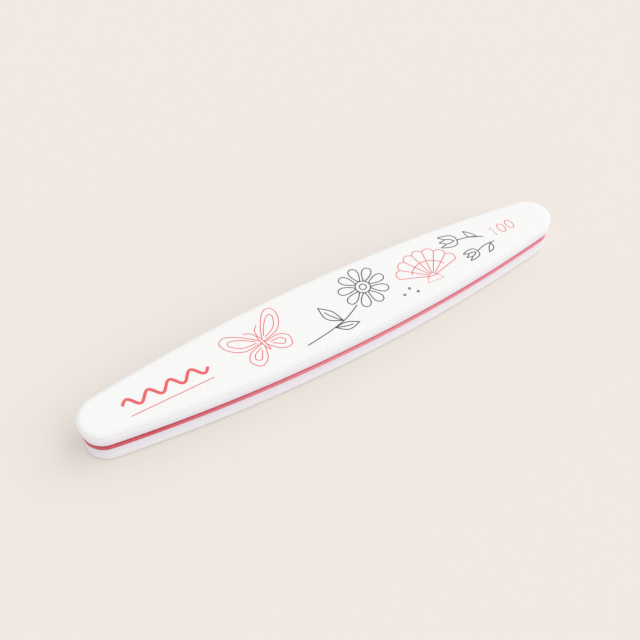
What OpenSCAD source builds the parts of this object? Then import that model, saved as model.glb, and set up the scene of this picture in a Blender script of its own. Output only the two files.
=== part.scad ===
/* [Board] */
// Length of the board from tip to tip
board_len = 178; // [150:1:200]
// Width of the board at its middle
board_w = 28; // [24:1:34]
// Radius of the two round ends, seen from above
end_r = 7.8; // [6:0.1:10]

/* [Layers] */
// Thickness of the stiff core strip
core_t = 2.2; // [1:0.1:4]
// Thickness of each foam pad
foam_t = 4.8; // [3:0.1:6]
// Thickness of each film of glue
glue_t = 0.1; // [0.05:0.05:0.3]
// Thickness of each backing paper
paper_t = 0.25; // [0.15:0.05:0.5]
// Thickness of the coarse grit on the top face
coarse_grit_t = 0.2; // [0.1:0.05:0.4]
// Thickness of the fine grit on the bottom face
fine_grit_t = 0.1; // [0.05:0.05:0.3]

/* [Cut edge] */
// Width of the margin where the cutting die rolls each face down
roll_w = 1.6; // [1:0.1:3]
// Drop of the rolled face where it ends at the cut edge
roll_drop = 0.5; // [0.3:0.1:0.8]
// How far the cut foam draws in where it meets the core
foam_draw_in = 0.25; // [0.1:0.05:0.5]
// How far below the rolled face the foam's side starts to draw in
foam_land = 1.2; // [0.4:0.1:1.6]
// How far the top of the core's edge lies back from the cut edge
core_inset = 0.45; // [0.3:0.05:0.8]
// How far the core's edge flares out again at its bottom
core_flare = 0.25; // [0.05:0.05:0.4]

/* [Hidden] */
arc_facets = 96;
side_facets = 1440;
$fn = arc_facets;

white_grit = [0.97, 0.97, 0.96];
white_paper = [0.93, 0.93, 0.9];
clear_glue = [0.9, 0.88, 0.8];
white_foam = [0.92, 0.92, 0.94];
pink_core = [0.86, 0.36, 0.45];

// Heights of the layers above the middle of the core, the same way up in both halves
foam_low = core_t / 2 + glue_t;
foam_high = foam_low + foam_t;
paper_low = foam_high + glue_t;
paper_high = paper_low + paper_t;
core_mid_z = paper_high + fine_grit_t;

// The margin rolls down along one arc, tangent to the flat face
roll_r = (roll_w * roll_w + roll_drop * roll_drop) / (2 * roll_drop);

// What is cut away from under a layer reaches this far past its edge and floor
spill = paper_t;

// Heights on the foam's cut side: the end of the rolled face, and the foot of the land below it
shoulder_h = foam_high - roll_drop;
land_h = shoulder_h - foam_land;

// Halfway down from there to the core the side has drawn in by a third
lean_h = (land_h + foam_low) / 2;
lean_in = foam_draw_in / 3;

// Each long side is an arc tangent to both round ends
end_x = board_len / 2 - end_r;
side_r = (end_x * end_x + board_w * board_w / 4 - end_r * end_r) / (board_w - 2 * end_r);
side_y = side_r - board_w / 2;
tangent_x = end_x * (1 + end_r / (side_r - end_r));

// The long part stops a little short of the tangent points, inside the round ends
end_lap = end_r / 6;
side_end_x = tangent_x - end_lap;

// The sweeps of the sides, and the boxes that trim them, reach this far past the tips
beyond = board_w;
side_sweep = 2 * asin((board_len / 2 + beyond) / side_r);

// Carries the section given as a child round the whole outline: along both long sides up to the
// board's middle plane, and round both ends. The section lies at x <= 0, with the cut edge at
// x = 0, and runs $reach inwards.
module round_the_board() {
    for (side = [0, 1])
        mirror([0, side, 0])
            difference() {
                intersection() {
                    side_band() children();
                    translate([-board_len / 2, 0, -beyond])
                        cube([board_len, beyond, 2 * beyond]);
                }
                end_boxes();
            }
    intersection() {
        end_discs() children();
        end_boxes();
    }
}

// The space past the long part, at both ends
module end_boxes() {
    for (end = [0, 1])
        mirror([end, 0, 0])
            translate([side_end_x, -beyond, -beyond])
                cube([beyond, 2 * beyond, 2 * beyond]);
}

// One long side: the section swept along the side's arc
module side_band() {
    translate([0, -side_y, 0])
        rotate([0, 0, 90 - side_sweep / 2])
            rotate_extrude(angle = side_sweep, $fn = side_facets)
                translate([side_r, 0])
                    let ($reach = board_w, $fn = arc_facets) children();
}

// Both round ends: the section turned about each end's centre
module end_discs() {
    for (end = [0, 1])
        mirror([end, 0, 0])
            translate([end_x, 0, 0])
                rotate_extrude()
                    intersection() {
                        translate([end_r, 0])
                            let ($reach = end_r) children();
                        translate([0, -beyond])
                            square([2 * end_r, 2 * beyond]);
                    }
}

// Area between a floor and a face that rolls down at the edge, out to the line x = edge
module under_face(face_h, floor_h, edge = 0) {
    arc_low = max(floor_h, face_h - roll_r);
    translate([-$reach, floor_h])
        square([$reach - roll_w, face_h - floor_h]);
    intersection() {
        translate([-roll_w, face_h - roll_r])
            circle(r = roll_r);
        translate([-roll_w, arc_low])
            square([roll_w + edge, 2 * roll_r]);
    }
    if (arc_low > floor_h)
        translate([-roll_w, floor_h])
            square([roll_w + edge, arc_low - floor_h]);
}

// Section of a thin layer that follows the rolled face
module skin_section(low_h, high_h) {
    difference() {
        under_face(high_h, 0);
        under_face(low_h, -spill, spill);
    }
}

// Section of a foam pad: rolled shoulder, straight land, and a side that draws in to the core
module foam_section() {
    under_face(foam_high, land_h);
    polygon([
        [-$reach, foam_low],
        [-foam_draw_in, foam_low],
        [-lean_in, lean_h],
        [0, land_h],
        [-$reach, land_h]
    ]);
}

// Section of a flat film whose edge lies back from the cut edge
module film_section(low_h, high_h, inset) {
    translate([-$reach, low_h])
        square([$reach - inset, high_h - low_h]);
}

// Section of the core: its edge is straight above its middle and flares out below it
module core_section() {
    polygon([
        [-$reach, -core_t / 2],
        [core_flare - core_inset, -core_t / 2],
        [-core_inset, 0],
        [-core_inset, core_t / 2],
        [-$reach, core_t / 2]
    ]);
}

module upper_half() {
    translate([0, 0, core_mid_z]) children();
}

module lower_half() {
    translate([0, 0, core_mid_z]) mirror([0, 0, 1]) children();
}

module top_grit() {
    color(white_grit) upper_half()
        round_the_board() skin_section(paper_high, paper_high + coarse_grit_t);
}

module top_backing_paper() {
    color(white_paper) upper_half()
        round_the_board() skin_section(paper_low, paper_high);
}

module top_paper_glue() {
    color(clear_glue) upper_half()
        round_the_board() skin_section(foam_high, paper_low);
}

module top_foam_pad() {
    color(white_foam) upper_half()
        round_the_board() foam_section();
}

module top_core_glue() {
    color(clear_glue) upper_half()
        round_the_board() film_section(core_t / 2, foam_low, core_inset);
}

module core_strip() {
    color(pink_core) upper_half()
        round_the_board() core_section();
}

module bottom_core_glue() {
    color(clear_glue) lower_half()
        round_the_board() film_section(core_t / 2, foam_low, core_inset - core_flare);
}

module bottom_foam_pad() {
    color(white_foam) lower_half()
        round_the_board() foam_section();
}

module bottom_paper_glue() {
    color(clear_glue) lower_half()
        round_the_board() skin_section(foam_high, paper_low);
}

module bottom_backing_paper() {
    color(white_paper) lower_half()
        round_the_board() skin_section(paper_low, paper_high);
}

module bottom_grit() {
    color(white_grit) lower_half()
        round_the_board() skin_section(paper_high, paper_high + fine_grit_t);
}

top_grit();
top_backing_paper();
top_paper_glue();
top_foam_pad();
top_core_glue();
core_strip();
bottom_core_glue();
bottom_foam_pad();
bottom_paper_glue();
bottom_backing_paper();
bottom_grit();
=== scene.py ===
import math

import bpy
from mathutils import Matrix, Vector


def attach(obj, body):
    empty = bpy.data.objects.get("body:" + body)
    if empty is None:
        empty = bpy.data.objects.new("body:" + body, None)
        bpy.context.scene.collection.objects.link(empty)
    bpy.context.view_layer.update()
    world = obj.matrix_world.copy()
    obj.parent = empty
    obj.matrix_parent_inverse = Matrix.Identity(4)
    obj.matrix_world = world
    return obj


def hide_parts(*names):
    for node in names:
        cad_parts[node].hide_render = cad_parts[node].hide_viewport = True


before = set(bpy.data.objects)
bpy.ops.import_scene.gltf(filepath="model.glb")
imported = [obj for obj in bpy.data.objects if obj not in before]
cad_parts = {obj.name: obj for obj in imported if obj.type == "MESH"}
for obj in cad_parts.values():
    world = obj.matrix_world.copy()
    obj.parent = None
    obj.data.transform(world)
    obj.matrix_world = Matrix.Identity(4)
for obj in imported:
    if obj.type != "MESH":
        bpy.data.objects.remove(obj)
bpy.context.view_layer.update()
mm = 0.001
print("frame loaded")


# camera, level, fitted to the photograph; angles in degrees, the rest in millimetres
camera = {
    "turn": -31.115,
    "height": 51.288,
    "distance": 274.234,
    "target": (-2.66, 6.3, 0.11),
    "lens": 45.08,
    "sensor": 36,
    "nearest": 10,
}


def addCamera(p):
    turn, height = math.radians(p["turn"]), math.radians(p["height"])
    level = math.cos(height)
    back = Vector((math.sin(turn) * level, -math.cos(turn) * level, math.sin(height)))
    place = (Vector(p["target"]) + back * p["distance"]) * mm
    bpy.ops.object.select_all(action="DESELECT")
    bpy.ops.object.camera_add(location=place, rotation=(math.pi / 2 - height, 0, turn))
    viewer = bpy.context.object
    viewer.name = "photoCamera"
    viewer.data.lens = p["lens"]
    viewer.data.sensor_width = p["sensor"]
    viewer.data.clip_start = p["nearest"] * mm
    bpy.context.scene.camera = viewer


addCamera(camera)
print("camera placed")


# a colour as it looks on screen, 0 to 255
def tint(red, green, blue):
    def toLinear(value):
        value = value / 255
        return value / 12.92 if value <= 0.04045 else ((value + 0.055) / 1.055) ** 2.4
    return (toLinear(red), toLinear(green), toLinear(blue), 1)


def newMaterial(name):
    material = bpy.data.materials.new(name)
    material.use_nodes = True
    return material, material.node_tree, material.node_tree.nodes["Principled BSDF"]


# gives a socket a value, or a link where the value comes from another node
def feed(tree, socket, value):
    if isinstance(value, bpy.types.NodeSocket):
        tree.links.new(value, socket)
    else:
        socket.default_value = value


def addNode(tree, kind, **values):
    node = tree.nodes.new("ShaderNode" + kind)
    for name, value in values.items():
        if hasattr(node, name):
            setattr(node, name, value)
        else:
            feed(tree, node.inputs[name], value)
    return node


# pale floor, soft sky and one broad, soft sun from the right; the floor's size is in metres
studio = {
    "floorSize": 4,
    "floorColour": tint(239, 233, 226),
    "skyStrength": 0.81,
    "skyColour": (1.0, 1.0, 1.0, 1),
    "sunFrom": (0.82, -0.3, 0.56),
    "sunSpread": 80,
    "sunStrength": 1.15,
}


def addStudio(p):
    world = bpy.data.worlds.new("softSky")
    bpy.context.scene.world = world
    world.use_nodes = True
    tree = world.node_tree
    tree.nodes.clear()
    sky = addNode(tree, "Background", Color=p["skyColour"], Strength=p["skyStrength"])
    backdrop = addNode(tree, "Background", Color=p["floorColour"], Strength=1)
    mix = addNode(tree, "MixShader")
    path = addNode(tree, "LightPath")
    tree.links.new(path.outputs["Is Camera Ray"], mix.inputs[0])
    tree.links.new(sky.outputs[0], mix.inputs[1])
    tree.links.new(backdrop.outputs[0], mix.inputs[2])
    addNode(tree, "OutputWorld", Surface=mix.outputs[0])

    bpy.ops.object.select_all(action="DESELECT")
    bpy.ops.object.light_add(type="SUN", location=p["sunFrom"])
    sun = bpy.context.object
    sun.name = "softSun"
    sun.data.energy = p["sunStrength"]
    sun.data.angle = math.radians(p["sunSpread"])
    sun.rotation_euler = (-Vector(p["sunFrom"])).to_track_quat("-Z", "Y").to_euler()

    bpy.ops.object.select_all(action="DESELECT")
    bpy.ops.mesh.primitive_plane_add(size=p["floorSize"])
    floor = bpy.context.object
    floor.name = "floor"
    material, tree, shader = newMaterial("paleFloor")
    shader.inputs["Base Color"].default_value = p["floorColour"]
    shader.inputs["Roughness"].default_value = 1
    shader.inputs["Specular IOR Level"].default_value = 0
    floor.data.materials.append(material)


addStudio(studio)
print("studio set")


# the board's outline and rolled margin, in millimetres: two side arcs tangent to two round ends;
# "middle" is the height of the core's middle, "inside" keeps the pieces off the box of the board,
# and "reach" is how far a section runs inwards before its face is closed flat
outline = {
    "length": 178.0,
    "width": 28.0,
    "endRadius": 7.8,
    "rollWidth": 1.6,
    "rollDrop": 0.5,
    "middle": 6.45,
    "inside": 0.03,
    "reach": 5.0,
    "leastEndSteps": 24,
    "weld": 0.02,
}
halfWidth = outline["width"] / 2
endRadius = outline["endRadius"]
endX = outline["length"] / 2 - endRadius
sideRadius = (endX ** 2 + halfWidth ** 2 - endRadius ** 2) / (2 * halfWidth - 2 * endRadius)
sideY = sideRadius - halfWidth
sideHalfTurn = math.asin(endX / (sideRadius - endRadius))


# a chain of edges through the points, left in edit mode
def drawChain(name, points):
    bpy.ops.object.select_all(action="DESELECT")
    bpy.ops.mesh.primitive_plane_add(size=mm, location=points[0])
    piece = bpy.context.object
    piece.name = name
    piece.data.name = name
    bpy.ops.object.transform_apply(location=True, rotation=True, scale=True)
    bpy.ops.object.mode_set(mode="EDIT")
    bpy.ops.mesh.select_mode(type="VERT")
    bpy.ops.mesh.select_all(action="SELECT")
    bpy.ops.mesh.merge(type="CENTER")
    for before, after in zip(points, points[1:]):
        bpy.ops.mesh.extrude_vertices_move(TRANSFORM_OT_translate={"value": after - before})
    return piece


# carries a chain of (inwards, height) points round the whole outline and closes both faces
def sweepRound(name, section, step):
    out = Vector((-math.sin(sideHalfTurn), math.cos(sideHalfTurn), 0))
    centre = Vector((0, -sideY, 0))
    edge = sideRadius - outline["inside"]
    points = [
        (centre + out * (edge + inwards) + Vector((0, 0, height))) * mm
        for inwards, height in section
    ]
    piece = drawChain(name, points)
    bpy.ops.mesh.select_all(action="SELECT")
    sideTurn = 2 * sideHalfTurn
    endTurn = math.pi - sideTurn
    sideSteps = round(sideTurn * sideRadius / step)
    endSteps = max(outline["leastEndSteps"], round(endTurn * endRadius / step))
    for x, y, turn, steps in (
        (0, -sideY, sideTurn, sideSteps),
        (endX, 0, endTurn, endSteps),
        (0, sideY, sideTurn, sideSteps),
        (-endX, 0, endTurn, endSteps),
    ):
        pivot = (x * mm, y * mm, 0)
        bpy.ops.mesh.spin(steps=steps, angle=turn, center=pivot, axis=(0, 0, 1))
    bpy.ops.mesh.select_all(action="SELECT")
    bpy.ops.mesh.remove_doubles(threshold=outline["weld"] * mm)
    bpy.ops.mesh.fill_holes(sides=0)
    bpy.ops.mesh.select_all(action="SELECT")
    bpy.ops.mesh.normals_make_consistent(inside=False)
    bpy.ops.object.mode_set(mode="OBJECT")
    return piece


# the margin of every layer rolls down along one arc
def rolledEdge(height, steps):
    width, drop = outline["rollWidth"], outline["rollDrop"]
    radius = (width ** 2 + drop ** 2) / (2 * drop)
    turn = math.asin(width / radius)
    angles = [turn * k / steps for k in range(steps + 1)]
    low = height - radius
    return [(-width + radius * math.sin(a), low + radius * math.cos(a)) for a in angles]


def placeHalf(section, up):
    side = 1 if up else -1
    return [(inwards, outline["middle"] + side * height) for inwards, height in section]


# each finished piece with the name of its material
pieces = []


# foam pads between the papers and the core, heights from the middle of the core: below the rolled
# shoulder the side has a straight land, and then it draws in to the core
foamPad = {
    "low": 1.2,
    "high": 6.0,
    "land": 1.2,
    "drawIn": 0.25,
    "drawCurve": 1.6,
    "rollSteps": 8,
    "landSteps": 3,
    "drawSteps": 9,
    "step": 0.45,
    "cellSize": 0.5,
    "cellDepth": 0.03,
    "cellMargin": 0.05,
    "smoothAngle": 50,
}


def foamSection(p):
    shoulder = p["high"] - outline["rollDrop"]
    foot = shoulder - p["land"]
    chain = [(-outline["reach"], p["high"])] + rolledEdge(p["high"], p["rollSteps"])
    for k in range(1, p["landSteps"] + 1):
        chain.append((0, shoulder - p["land"] * k / p["landSteps"]))
    for k in range(1, p["drawSteps"] + 1):
        part = k / p["drawSteps"]
        chain.append((-p["drawIn"] * part ** p["drawCurve"], foot + (p["low"] - foot) * part))
    chain.append((-outline["reach"], p["low"]))
    return chain


# the cut through the foam's cells leaves shallow hollows in its side
def openCells(pad, p):
    nearest = p["low"] + p["cellMargin"]
    farthest = p["high"] - outline["rollDrop"] + p["cellMargin"]
    picked = []
    for vertex in pad.data.vertices:
        height = abs(vertex.co.z / mm - outline["middle"])
        if nearest < height < farthest:
            picked.append(vertex.index)
    side = pad.vertex_groups.new(name="cutSide")
    side.add(picked, 1, "REPLACE")
    cells = bpy.data.textures.new("foamCells", "VORONOI")
    cells.noise_scale = p["cellSize"] * mm
    hollow = pad.modifiers.new("hollows", "DISPLACE")
    hollow.texture = cells
    hollow.texture_coords = "LOCAL"
    hollow.vertex_group = "cutSide"
    hollow.mid_level = 1
    hollow.strength = p["cellDepth"] * mm
    bpy.ops.object.modifier_apply(modifier="hollows")
    pad.vertex_groups.clear()


for name, node, up, finish in (
    ("topFoamPad", "top_foam_pad", True, "topFoam"),
    ("bottomFoamPad", "bottom_foam_pad", False, "bottomFoam"),
):
    pad = sweepRound(name, placeHalf(foamSection(foamPad), up), foamPad["step"])
    openCells(pad, foamPad)
    bpy.ops.object.shade_smooth_by_angle(angle=math.radians(foamPad["smoothAngle"]))
    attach(pad, "root")
    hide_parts(node)
    pieces.append((pad, finish))
print("foam pads made")


# skins that follow the rolled margin: abrasive, its paper and the paper's glue, heights from the
# middle of the core; the abrasive's flat is kept just under the print
skins = {
    "glueLow": 6.0,
    "paperLow": 6.1,
    "paperHigh": 6.35,
    "coarse": 0.2,
    "fine": 0.1,
    "printRoom": 0.015,
    "rollSteps": 10,
    "step": 1.0,
}


def faceHeight(p, up):
    return p["paperHigh"] + (p["coarse"] if up else p["fine"]) - p["printRoom"]


def skinSection(p, low, high):
    outer = rolledEdge(high, p["rollSteps"])
    inner = rolledEdge(low, p["rollSteps"])
    return [(-outline["reach"], high)] + outer + inner[::-1] + [(-outline["reach"], low)]


def addLayer(name, node, up, section, step, finish, smoothAngle=40):
    layer = sweepRound(name, placeHalf(section, up), step)
    bpy.ops.object.shade_smooth_by_angle(angle=math.radians(smoothAngle))
    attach(layer, "root")
    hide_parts(node)
    pieces.append((layer, finish))


def addSkins(p, half, up, finish):
    face = skinSection(p, p["paperHigh"], faceHeight(p, up))
    addLayer(half + "Abrasive", half + "_grit", up, face, p["step"], finish)
    paper = skinSection(p, p["paperLow"], p["paperHigh"])
    node = half + "_backing_paper"
    addLayer(half + "BackingPaper", node, up, paper, p["step"], "backingPaper")
    film = skinSection(p, p["glueLow"], p["paperLow"])
    addLayer(half + "PaperGlue", half + "_paper_glue", up, film, p["step"], "clearGlue")


addSkins(skins, "top", True, "coarseGrit")
addSkins(skins, "bottom", False, "fineGrit")
print("abrasive papers made")


# stiff core with the glue films that hold the pads to it: its edge is straight at the top and
# flares out below, and each film's edge slopes back from the core's
core = {
    "half": 1.1,
    "glue": 0.1,
    "inset": 0.45,
    "flare": 0.25,
    "flareCurve": 1.3,
    "flareSteps": 7,
    "straight": (0.55, 0.15),
    "corner": 0.06,
    "cornerCut": 0.3,
    "filmBack": (0.02, 0.05),
    "step": 0.8,
}


def coreSection(p):
    reach, half, corner = outline["reach"], p["half"], p["corner"]
    cut = corner * p["cornerCut"]
    top, foot = -p["inset"], p["flare"] - p["inset"]
    chain = [(-reach, half), (top - corner, half), (top - cut, half - cut), (top, half - corner)]
    chain += [(top, height) for height in p["straight"]]
    start = p["straight"][-1]
    for k in range(1, p["flareSteps"] + 1):
        part = k / p["flareSteps"]
        across = top + p["flare"] * part ** p["flareCurve"]
        chain.append((across, start - (half - corner + start) * part))
    return chain + [(foot - cut, -half + cut), (foot - corner, -half), (-reach, -half)]


def filmSection(p, inset):
    low, high = p["half"], p["half"] + p["glue"]
    upper, lower = p["filmBack"]
    reach = outline["reach"]
    return [(-reach, high), (-inset - upper, high), (-inset - lower, low), (-reach, low)]


addLayer("dyedCoreStrip", "core_strip", True, coreSection(core), core["step"], "dyedCore")
for half, up, inset in (
    ("top", True, core["inset"]),
    ("bottom", False, core["inset"] - core["flare"]),
):
    film = filmSection(core, inset)
    addLayer(half + "CoreGlue", half + "_core_glue", up, film, core["step"], "clearGlue")
print("core made")


# line drawings of the print, in millimetres on the face; each line is (points, closed)
def shift(lines, x, y, turn=0, size=1):
    c, s = math.cos(math.radians(turn)) * size, math.sin(math.radians(turn)) * size
    return [
        ([(x + px * c - py * s, y + px * s + py * c) for px, py in points], closed)
        for points, closed in lines
    ]


def mirrored(lines):
    return lines + [([(-x, y) for x, y in points], closed) for points, closed in lines]


def oval(wide, tall, x=0, y=0, count=28):
    turns = [2 * math.pi * k / count for k in range(count)]
    return ([(x + wide * math.cos(a), y + tall * math.sin(a)) for a in turns], True)


# a share t of the way from b to c, on a smooth line that also passes a and d
def between(a, b, c, d, t):
    bend = 2 * a - 5 * b + 4 * c - d
    twist = 3 * b - a - 3 * c + d
    return 0.5 * (2 * b + (c - a) * t + bend * t * t + twist * t ** 3)


def curve(*corners, count=12):
    points = []
    ends = [corners[0]] + list(corners) + [corners[-1]]
    for a, b, c, d in zip(ends, ends[1:], ends[2:], ends[3:]):
        for k in range(count):
            points.append(tuple(between(a[i], b[i], c[i], d[i], k / count) for i in (0, 1)))
    return (points + [corners[-1]], False)


# shapes of the motifs, as shares of each one's own size; turns and spreads are in degrees
motifShapes = {
    "petalFoot": 0.35,
    "petalWidth": 0.5,
    "petalTurn": 7,
    "heart": (0.3, 0.14),
    "leafCurve": 1.3,
    "vein": 0.72,
    "wing": (
        (
            (0.05, 0.08), (0.34, 0.5), (0.74, 0.86), (1.0, 0.78),
            (0.96, 0.42), (0.62, 0.06), (0.05, -0.02),
        ),
        ((0.16, 0.14), (0.42, 0.44), (0.74, 0.66), (0.83, 0.52), (0.58, 0.2), (0.16, 0.07)),
        ((0.05, -0.06), (0.5, -0.1), (0.72, -0.34), (0.58, -0.66), (0.26, -0.56), (0.04, -0.16)),
        ((0.16, -0.16), (0.44, -0.22), (0.55, -0.38), (0.42, -0.48), (0.2, -0.24)),
        ((0.01, 0.24), (0.08, 0.46), (0.26, 0.6)),
    ),
    "wingBody": (0.045, 0.315, 0, -0.06),
    "shellSpread": 144,
    "shellRib": 0.1,
    "shellRim": (1.1, 0.4),
    "shellBand": (0.62, 0.84, 24),
    "shellFoot": ((-0.17, 0.02), (0.17, 0.02), (0.26, -0.17), (-0.26, -0.17)),
    "cup": (
        ((0, 0), (-0.3, 0.1), (-0.42, 0.46), (-0.36, 0.96), (-0.17, 0.66), (0, 1.0)),
        ((-0.17, 0.66), (-0.13, 0.4), (0, 0.16)),
    ),
    "stem": ((0, 0), (0.05, -0.5), (-0.04, -1)),
    "stemLeaf": (0.6, 0.2, 0.06),
    "stemLeafDrop": 0.8,
}


def petal(near, far, width, turn, count=36):
    foot = motifShapes["petalFoot"]
    points = []
    for k in range(count):
        t = 2 * math.pi * k / count
        part = (1 - math.cos(t)) / 2
        across = width / 2 * math.sin(t) * (foot + (1 - foot) * part)
        points.append((near + (far - near) * part, across))
    return shift([(points, True)], 0, 0, turn)[0]


def daisy(petals, radius):
    inner, centre = (radius * share for share in motifShapes["heart"])
    width, first = radius * motifShapes["petalWidth"], motifShapes["petalTurn"]
    lines = [petal(inner, radius, width, 360 / petals * k + first) for k in range(petals)]
    return lines + [oval(inner, inner), oval(centre, centre)]


def pointedLeaf(length, width, bend, count=18):
    def swell(part):
        return math.sin(math.pi * part)

    def edgePoint(k, side):
        across = side * width / 2 * swell(k / count) ** motifShapes["leafCurve"]
        return (length * k / count, across + bend * swell(k / count))

    edge = [edgePoint(k, 1) for k in range(count + 1)]
    edge += [edgePoint(k, -1) for k in range(count - 1, 0, -1)]
    parts = [k / count * motifShapes["vein"] for k in range(count + 1)]
    return [(edge, True), ([(length * part, bend * swell(part)) for part in parts], False)]


def butterfly(span):
    wing = [curve(*corners) for corners in motifShapes["wing"]]
    return shift(mirrored(wing) + [oval(*motifShapes["wingBody"])], 0, 0, size=span / 2)


def shell(radius, ribs):
    spread = math.radians(motifShapes["shellSpread"])
    turns = [math.pi / 2 - spread / 2 + spread * k / ribs for k in range(ribs + 1)]
    tips = [(math.cos(a), math.sin(a)) for a in turns]
    start = motifShapes["shellRib"]
    lines = [([(start * x, start * y), (x, y)], False) for x, y in tips]
    bulge, side = motifShapes["shellRim"]
    for (ax, ay), (bx, by) in zip(tips, tips[1:]):
        outX, outY = (ax + bx) / 2 * bulge, (ay + by) / 2 * bulge
        overX, overY = (bx - ax) / 2 * side, (by - ay) / 2 * side
        before, after = (outX - overX, outY - overY), (outX + overX, outY + overY)
        lines.append(curve((ax, ay), before, after, (bx, by)))
    band, share, steps = motifShapes["shellBand"]
    arc = [math.pi / 2 + spread * share * (k / steps - 0.5) for k in range(steps + 1)]
    lines.append(([(band * math.cos(a), band * math.sin(a)) for a in arc], False))
    lines.append((list(motifShapes["shellFoot"]), True))
    return shift(lines, 0, 0, size=radius)


def tulip(height, stem, leafTurn):
    cup = mirrored([curve(*corners) for corners in motifShapes["cup"]])
    leaf = pointedLeaf(*motifShapes["stemLeaf"])[:1]
    below = [curve(*motifShapes["stem"])] + shift(leaf, 0, -motifShapes["stemLeafDrop"], leafTurn)
    return shift(cup, 0, 0, size=height) + shift(below, 0, 0, size=stem)


def stalk(*corners):
    return [curve(*corners)]


def rule(length):
    return [([(0, 0), (length, 0)], False)]


def seed(radius):
    return [oval(radius, radius, count=12)]


def wave(length, height, crests, count=32):
    total = crests * count
    turns = [2 * math.pi * k / count for k in range(total + 1)]
    points = [(length * k / total, height / 2 * math.sin(a)) for k, a in enumerate(turns)]
    return [(points, False)]


digitLines = {
    "0": [oval(0.3, 0.5, 0, 0.5, 24)],
    "1": [([(-0.17, 0.8), (0.05, 1.0), (0.05, 0.0)], False)],
    "8": [oval(0.24, 0.24, 0, 0.76, 24), oval(0.29, 0.28, 0, 0.27, 24)],
}


def number(digits, height, gap=0.86):
    lines = []
    for k, digit in enumerate(digits):
        lines += shift(digitLines[digit], k * gap * height, 0, size=height)
    return lines


# what is printed: each motif with its own sizes, and its place and turn on the face
drawings = {
    "coralDrawing": (
        (butterfly, (21.5,), (-28.0, -0.6, 12)),
        (shell, (11.5, 7), (34.5, -6.0, -5)),
        (rule, (27,), (-74, -5.0)),
        (number, ("100", 4.2), (65.0, -1.9)),
    ),
    "coralWave": (
        (wave, (28, 3.4, 4), (-75, -0.4)),
    ),
    "blackDrawing": (
        (daisy, (9, 8.6), (11.5, 2.2)),
        (stalk, ((5.6, -3.4), (-0.5, -6.4), (-8, -8.2), (-16.5, -9.4)), (0, 0)),
        (pointedLeaf, (10, 3.6, 0.6), (-1.5, -6.7, 118)),
        (pointedLeaf, (8.5, 3.0, -0.5), (-5.5, -7.6, -14)),
        (tulip, (6.6, 9.5, 50), (51.5, 3.4, 72)),
        (tulip, (5.2, 8, 130), (54.5, -4.4, 98)),
        (seed, (0.35,), (21.5, -7.9)),
        (seed, (0.35,), (24.4, -6.4)),
        (seed, (0.35,), (26.2, -8.9)),
    ),
    "gritNumberBelow": (
        (number, ("180", 4.0), (62, -2.0)),
    ),
}


# lines become ribbons of ink that lie in the top of the abrasive
ink = {
    "thin": 0.32,
    "black": 0.38,
    "bold": 1.05,
    "proud": 0.012,
    "facets": 2,
    "weld": 0.001,
}


def drawLines(name):
    lines = []
    for motif, sizes, place in drawings[name]:
        lines += shift(motif(*sizes), *place)
    return lines


def printLines(p, name, width, up, finish):
    side = 1 if up else -1
    drawing = bpy.data.curves.new(name, "CURVE")
    drawing.dimensions = "3D"
    drawing.bevel_depth = width / 2 * mm
    drawing.bevel_resolution = p["facets"]
    drawing.use_fill_caps = True
    for points, closed in drawLines(name):
        line = drawing.splines.new("POLY")
        line.points.add(len(points) - 1)
        for place, (x, y) in zip(line.points, points):
            place.co = (x * mm, side * y * mm, 0, 1)
        line.use_cyclic_u = closed
    piece = bpy.data.objects.new(name, drawing)
    bpy.context.scene.collection.objects.link(piece)
    bpy.ops.object.select_all(action="DESELECT")
    piece.select_set(True)
    bpy.context.view_layer.objects.active = piece
    bpy.ops.object.convert(target="MESH")
    piece = bpy.context.object
    height = outline["middle"] + side * faceHeight(skins, up)
    bpy.ops.object.mode_set(mode="EDIT")
    bpy.ops.mesh.select_all(action="SELECT")
    bpy.ops.mesh.remove_doubles(threshold=p["weld"] * mm)
    bpy.ops.transform.resize(value=(1, 1, p["proud"] / (width / 2)))
    bpy.ops.transform.translate(value=(0, 0, height * mm))
    bpy.ops.mesh.normals_make_consistent(inside=False)
    bpy.ops.object.mode_set(mode="OBJECT")
    bpy.ops.object.shade_flat()
    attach(piece, "root")
    pieces.append((piece, finish))


printLines(ink, "coralDrawing", ink["thin"], True, "coralInk")
printLines(ink, "coralWave", ink["bold"], True, "coralInk")
printLines(ink, "blackDrawing", ink["black"], True, "blackInk")
printLines(ink, "gritNumberBelow", ink["thin"], False, "coralInk")
print("print made")


def calculate(tree, operation, *values):
    node = addNode(tree, "Math", operation=operation)
    for socket, value in zip(node.inputs, values):
        feed(tree, socket, value)
    return node.outputs[0]


def ranged(tree, value, low, high, fromLow=0.0, fromHigh=1.0):
    limits = {"From Min": fromLow, "From Max": fromHigh, "To Min": low, "To Max": high}
    return addNode(tree, "MapRange", Value=value, **limits).outputs[0]


def blendColours(tree, factor, first, second):
    mix = addNode(tree, "Mix", data_type="RGBA")
    for place, value in ((0, factor), (6, first), (7, second)):
        feed(tree, mix.inputs[place], value)
    return mix.outputs[2]


def objectPlace(tree, stretch=None):
    place = addNode(tree, "TexCoord").outputs["Object"]
    if stretch:
        return addNode(tree, "Mapping", Vector=place, Scale=stretch).outputs[0]
    return place


def addBump(tree, shader, height, strength, depth):
    bump = addNode(tree, "Bump", Height=height, Strength=strength, Distance=depth * mm)
    tree.links.new(bump.outputs[0], shader.inputs["Normal"])


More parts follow.
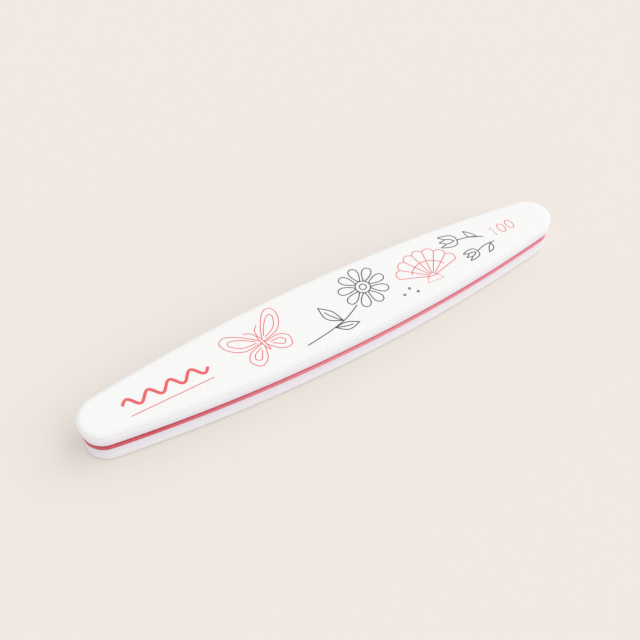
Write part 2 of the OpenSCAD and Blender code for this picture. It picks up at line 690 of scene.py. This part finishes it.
# shared effects: a node group with one size, in millimetres, and masks and heights as its outputs
def newGroup(name, sizeName, size, outputs):
    group = bpy.data.node_groups.new(name, "ShaderNodeTree")
    kind = "NodeSocketFloat"
    socket = group.interface.new_socket(name=sizeName, in_out="INPUT", socket_type=kind)
    socket.default_value = size
    for label in outputs:
        group.interface.new_socket(name=label, in_out="OUTPUT", socket_type=kind)
    given, result = group.nodes.new("NodeGroupInput"), group.nodes.new("NodeGroupOutput")
    scale = calculate(group, "DIVIDE", 1 / mm, given.outputs[sizeName])
    return group, scale, result


def useGroup(tree, group, size):
    node = tree.nodes.new("ShaderNodeGroup")
    node.node_tree = group
    node.inputs[0].default_value = size
    return node


crushedGrains = {
    "size": 0.18,
    "domeWidth": 0.8,
    "fineShare": 0.5,
    "glint": (0.88, 0.97),
}


# crushed grains: height, and a mask of the sharp glinting ones
def makeGrains(p):
    group, scale, result = newGroup("crushedGrains", "Grain Size", p["size"], ("Height", "Glint"))
    place = objectPlace(group)
    grains = addNode(group, "TexVoronoi", feature="F1", Randomness=1.0, Vector=place, Scale=scale)
    fine = addNode(group, "TexNoise", Detail=3.0, Roughness=0.6, Vector=place, Scale=scale)
    chance = addNode(group, "SeparateColor", Color=grains.outputs["Color"])
    dome = ranged(group, grains.outputs["Distance"], 1, 0, 0, p["domeWidth"])
    tall = calculate(group, "MULTIPLY", dome, chance.outputs[0])
    height = calculate(group, "MULTIPLY_ADD", fine.outputs["Fac"], p["fineShare"], tall)
    group.links.new(height, result.inputs["Height"])
    group.links.new(ranged(group, chance.outputs[1], 0, 1, *p["glint"]), result.inputs["Glint"])
    return group


cutCells = {
    "size": 0.35,
    "widthSpread": 0.3,
    "rim": (0.2, 0.52),
    "fineShare": 0.35,
    "clouding": 160.0,
}


# pores of cut foam, each of its own width: height, a mask of the hollows and slow clouding
def makeCells(p):
    outputs = ("Height", "Hollow", "Clouding")
    group, scale, result = newGroup("cutCells", "Cell Size", p["size"], outputs)
    place = objectPlace(group)
    cells = addNode(group, "TexVoronoi", feature="F1", Randomness=0.9, Vector=place, Scale=scale)
    chance = addNode(group, "SeparateColor", Color=cells.outputs["Color"])
    spread = p["widthSpread"]
    wider = calculate(group, "MULTIPLY_ADD", chance.outputs[0], spread, cells.outputs["Distance"])
    limits = {"From Min": p["rim"][0], "From Max": p["rim"][1]}
    rim = addNode(group, "MapRange", interpolation_type="SMOOTHSTEP", Value=wider, **limits)
    fine = addNode(group, "TexNoise", Detail=5.0, Roughness=0.65, Vector=place, Scale=scale)
    height = calculate(group, "MULTIPLY_ADD", fine.outputs["Fac"], p["fineShare"], rim.outputs[0])
    cloud = addNode(group, "TexNoise", Detail=3.0, Vector=place, Scale=p["clouding"])
    group.links.new(height, result.inputs["Height"])
    group.links.new(calculate(group, "SUBTRACT", 1, rim.outputs[0]), result.inputs["Hollow"])
    group.links.new(cloud.outputs["Fac"], result.inputs["Clouding"])
    return group


grainGroup = makeGrains(crushedGrains)
cellGroup = makeCells(cutCells)


# how far a point lies above or below the middle of the core, in metres
def heightFromCore(tree):
    axes = addNode(tree, "SeparateXYZ", Vector=objectPlace(tree))
    away = calculate(tree, "SUBTRACT", axes.outputs["Z"], outline["middle"] * mm)
    return calculate(tree, "ABSOLUTE", away)


# white abrasive grain set in white bond, painted a little greyer down the rolled margin as painted
# shade
gritFinish = {
    "coarseSize": 0.18,
    "fineSize": 0.1,
    "grain": tint(253, 253, 252),
    "bond": tint(241, 241, 240),
    "bondLevel": (0.15, 0.5),
    "rollShadeGrain": tint(248, 248, 248),
    "rollShadeBond": tint(236, 236, 236),
    "rollShadeDrop": (0.008, 0.09),
    "roughness": (0.6, 0.3),
    "bump": 0.8,
    "bumpDepth": 0.3,
}


def gritMaterial(name, p, grainSize, up):
    material, tree, shader = newMaterial(name)
    grains = useGroup(tree, grainGroup, grainSize)
    height, glint = grains.outputs["Height"], grains.outputs["Glint"]
    shallow, deep = ((faceHeight(skins, up) - drop) * mm for drop in p["rollShadeDrop"])
    # painted shade: the grit turns greyer as the margin rolls down
    rollShade = ranged(tree, heightFromCore(tree), 0, 1, shallow, deep)
    grain = blendColours(tree, rollShade, p["grain"], p["rollShadeGrain"])
    bond = blendColours(tree, rollShade, p["bond"], p["rollShadeBond"])
    body = blendColours(tree, ranged(tree, height, 0, 1, *p["bondLevel"]), bond, grain)
    tree.links.new(body, shader.inputs["Base Color"])
    tree.links.new(ranged(tree, glint, *p["roughness"]), shader.inputs["Roughness"])
    addBump(tree, shader, height, p["bump"], grainSize * p["bumpDepth"])
    return material


# ink on the grains: the tallest ones show through
inkFinish = {
    "grainSize": 0.18,
    "coral": tint(238, 98, 100),
    "coralWorn": tint(248, 170, 168),
    "black": tint(62, 66, 72),
    "blackWorn": tint(150, 152, 156),
    "wornMost": 0.75,
    "wornLevel": (0.75, 1.05),
    "roughness": (0.6, 0.4),
    "bump": (0.3, 0.05),
}


def inkMaterial(name, p, full, worn):
    material, tree, shader = newMaterial(name)
    grains = useGroup(tree, grainGroup, p["grainSize"])
    height, glint = grains.outputs["Height"], grains.outputs["Glint"]
    show = ranged(tree, height, 0, p["wornMost"], *p["wornLevel"])
    tree.links.new(blendColours(tree, show, p[full], p[worn]), shader.inputs["Base Color"])
    tree.links.new(ranged(tree, glint, *p["roughness"]), shader.inputs["Roughness"])
    addBump(tree, shader, height, *p["bump"])
    return material


# cut foam: colour of its walls, of its hollows (painted shade in the pores), and the painted shade
# greying it towards the core
foamFinish = {
    # wall, hollow and near-core colours of each pad; the hollow and near-core colours are painted
    # shade, and the bottom pad's colours are all darker as painted shade
    "topPad": (tint(249, 251, 254), tint(240, 241, 248), tint(236, 233, 243)),
    "shadedBottomPad": (tint(245, 245, 250), tint(233, 232, 241), tint(233, 229, 239)),
    "poreSize": 0.26,
    "coreShadeFrom": (1.2, 4.6),
    "coreShadeWander": 0.8,
    "roughness": (0.78, 0.9, 0.3, 0.7),
    "bump": (0.5, 0.06),
}


def foamMaterial(name, p, pad):
    material, tree, shader = newMaterial(name)
    wall, hollow, coreShade = p[pad]
    cells = useGroup(tree, cellGroup, p["poreSize"])
    cloud = cells.outputs["Clouding"]
    # painted shade in the pores: the hollows take the darker colour
    body = blendColours(tree, cells.outputs["Hollow"], wall, hollow)
    away = calculate(tree, "MULTIPLY_ADD", cloud, p["coreShadeWander"] * mm, heightFromCore(tree))
    near, far = ((height + p["coreShadeWander"] / 2) * mm for height in p["coreShadeFrom"])
    # painted shade: the foam greys towards the core
    body = blendColours(tree, ranged(tree, away, 1, 0, near, far), body, coreShade)
    tree.links.new(body, shader.inputs["Base Color"])
    tree.links.new(ranged(tree, cloud, *p["roughness"]), shader.inputs["Roughness"])
    addBump(tree, shader, cells.outputs["Height"], *p["bump"])
    return material


# backing paper, seen on edge as a line of fibres
paperFinish = {
    "between": tint(244, 246, 248),
    "fibre": tint(252, 254, 255),
    "fibreScale": 2600.0,
    "stretch": (0.25, 0.25, 3.0),
    "roughness": (0.75, 0.6),
    "bump": (0.3, 0.03),
}


def paperMaterial(name, p):
    material, tree, shader = newMaterial(name)
    place = objectPlace(tree, p["stretch"])
    scale = p["fibreScale"]
    noise = addNode(tree, "TexNoise", Vector=place, Scale=scale, Detail=4.0, Roughness=0.7)
    fibres = noise.outputs["Fac"]
    body = blendColours(tree, fibres, p["between"], p["fibre"])
    tree.links.new(body, shader.inputs["Base Color"])
    tree.links.new(ranged(tree, fibres, *p["roughness"]), shader.inputs["Roughness"])
    addBump(tree, shader, fibres, *p["bump"])
    return material


# clear glue, faintly cloudy
glueFinish = {
    "cloudy": tint(241, 242, 244),
    "clear": tint(249, 250, 252),
    "cloudScale": 900.0,
    "roughness": (0.25, 0.45),
    "bump": (0.15, 0.02),
}


def glueMaterial(name, p):
    material, tree, shader = newMaterial(name)
    noise = addNode(tree, "TexNoise", Vector=objectPlace(tree), Scale=p["cloudScale"], Detail=3.0)
    cloud = noise.outputs["Fac"]
    tree.links.new(blendColours(tree, cloud, p["cloudy"], p["clear"]), shader.inputs["Base Color"])
    tree.links.new(ranged(tree, cloud, *p["roughness"]), shader.inputs["Roughness"])
    addBump(tree, shader, cloud, *p["bump"])
    return material


# dyed core: painted darker crimson along its upper part as painted shade under the foam's
# overhang, and paler pink below as painted light on the flare;
# the painted shade is deeper at the left, and the cut has drawn pale streaks down it
coreFinish = {
    # painted shade and light: darker crimson above and at the left, paler pink below and at the
    # right
    "shadedUpperLeft": tint(192, 42, 66),
    "shadedUpperRight": tint(210, 88, 112),
    "shadedLowerLeft": tint(212, 92, 108),
    "litLowerRight": tint(238, 140, 158),
    "leftShadeAlong": (-70, -10),
    "overhangShadeHeight": (6.3, 6.75),
    "waver": 0.22,
    "dragScale": (2400.0, 2400.0, 160.0),
    "streak": tint(245, 180, 190),
    "streakShare": 0.3,
    "streakLevel": (0.5, 0.75),
    "roughness": (0.5, 0.75),
    "gloss": 0.25,
    "bump": (0.6, 0.06),
}


def coreMaterial(name, p):
    material, tree, shader = newMaterial(name)
    axes = addNode(tree, "SeparateXYZ", Vector=objectPlace(tree))
    place = objectPlace(tree, p["dragScale"])
    noise = addNode(tree, "TexNoise", Vector=place, Scale=1.0, Detail=4.0, Roughness=0.7)
    drag = noise.outputs["Fac"]
    # painted shade boundary: crimson above, paler pink below, along a wavering line
    wavering = calculate(tree, "MULTIPLY_ADD", drag, p["waver"] * mm, axes.outputs["Z"])
    low, high = ((height + p["waver"] / 2) * mm for height in p["overhangShadeHeight"])
    turn = ranged(tree, wavering, 0, 1, low, high)
    left, right = (x * mm for x in p["leftShadeAlong"])
    leftShade = ranged(tree, axes.outputs["X"], 0, 1, left, right)
    upper = blendColours(tree, leftShade, p["shadedUpperLeft"], p["shadedUpperRight"])
    lower = blendColours(tree, leftShade, p["shadedLowerLeft"], p["litLowerRight"])
    # the dye's pink with painted shade above and towards the left
    shadedDye = blendColours(tree, turn, lower, upper)
    streaks = ranged(tree, drag, 0, p["streakShare"], *p["streakLevel"])
    tree.links.new(blendColours(tree, streaks, shadedDye, p["streak"]), shader.inputs["Base Color"])
    tree.links.new(ranged(tree, drag, *p["roughness"]), shader.inputs["Roughness"])
    shader.inputs["Specular IOR Level"].default_value = p["gloss"]
    addBump(tree, shader, drag, *p["bump"])
    return material


materials = {
    "coarseGrit": gritMaterial("coarseGrit", gritFinish, gritFinish["coarseSize"], True),
    "fineGrit": gritMaterial("fineGrit", gritFinish, gritFinish["fineSize"], False),
    "coralInk": inkMaterial("coralInk", inkFinish, "coral", "coralWorn"),
    "blackInk": inkMaterial("blackInk", inkFinish, "black", "blackWorn"),
    "topFoam": foamMaterial("topFoam", foamFinish, "topPad"),
    "bottomFoam": foamMaterial("bottomFoam", foamFinish, "shadedBottomPad"),
    "backingPaper": paperMaterial("backingPaper", paperFinish),
    "clearGlue": glueMaterial("clearGlue", glueFinish),
    "dyedCore": coreMaterial("dyedCore", coreFinish),
}

for piece, finish in pieces:
    piece.data.materials.clear()
    piece.data.materials.append(materials[finish])
print("finishes on")

bpy.context.scene.view_settings.view_transform = "Standard"
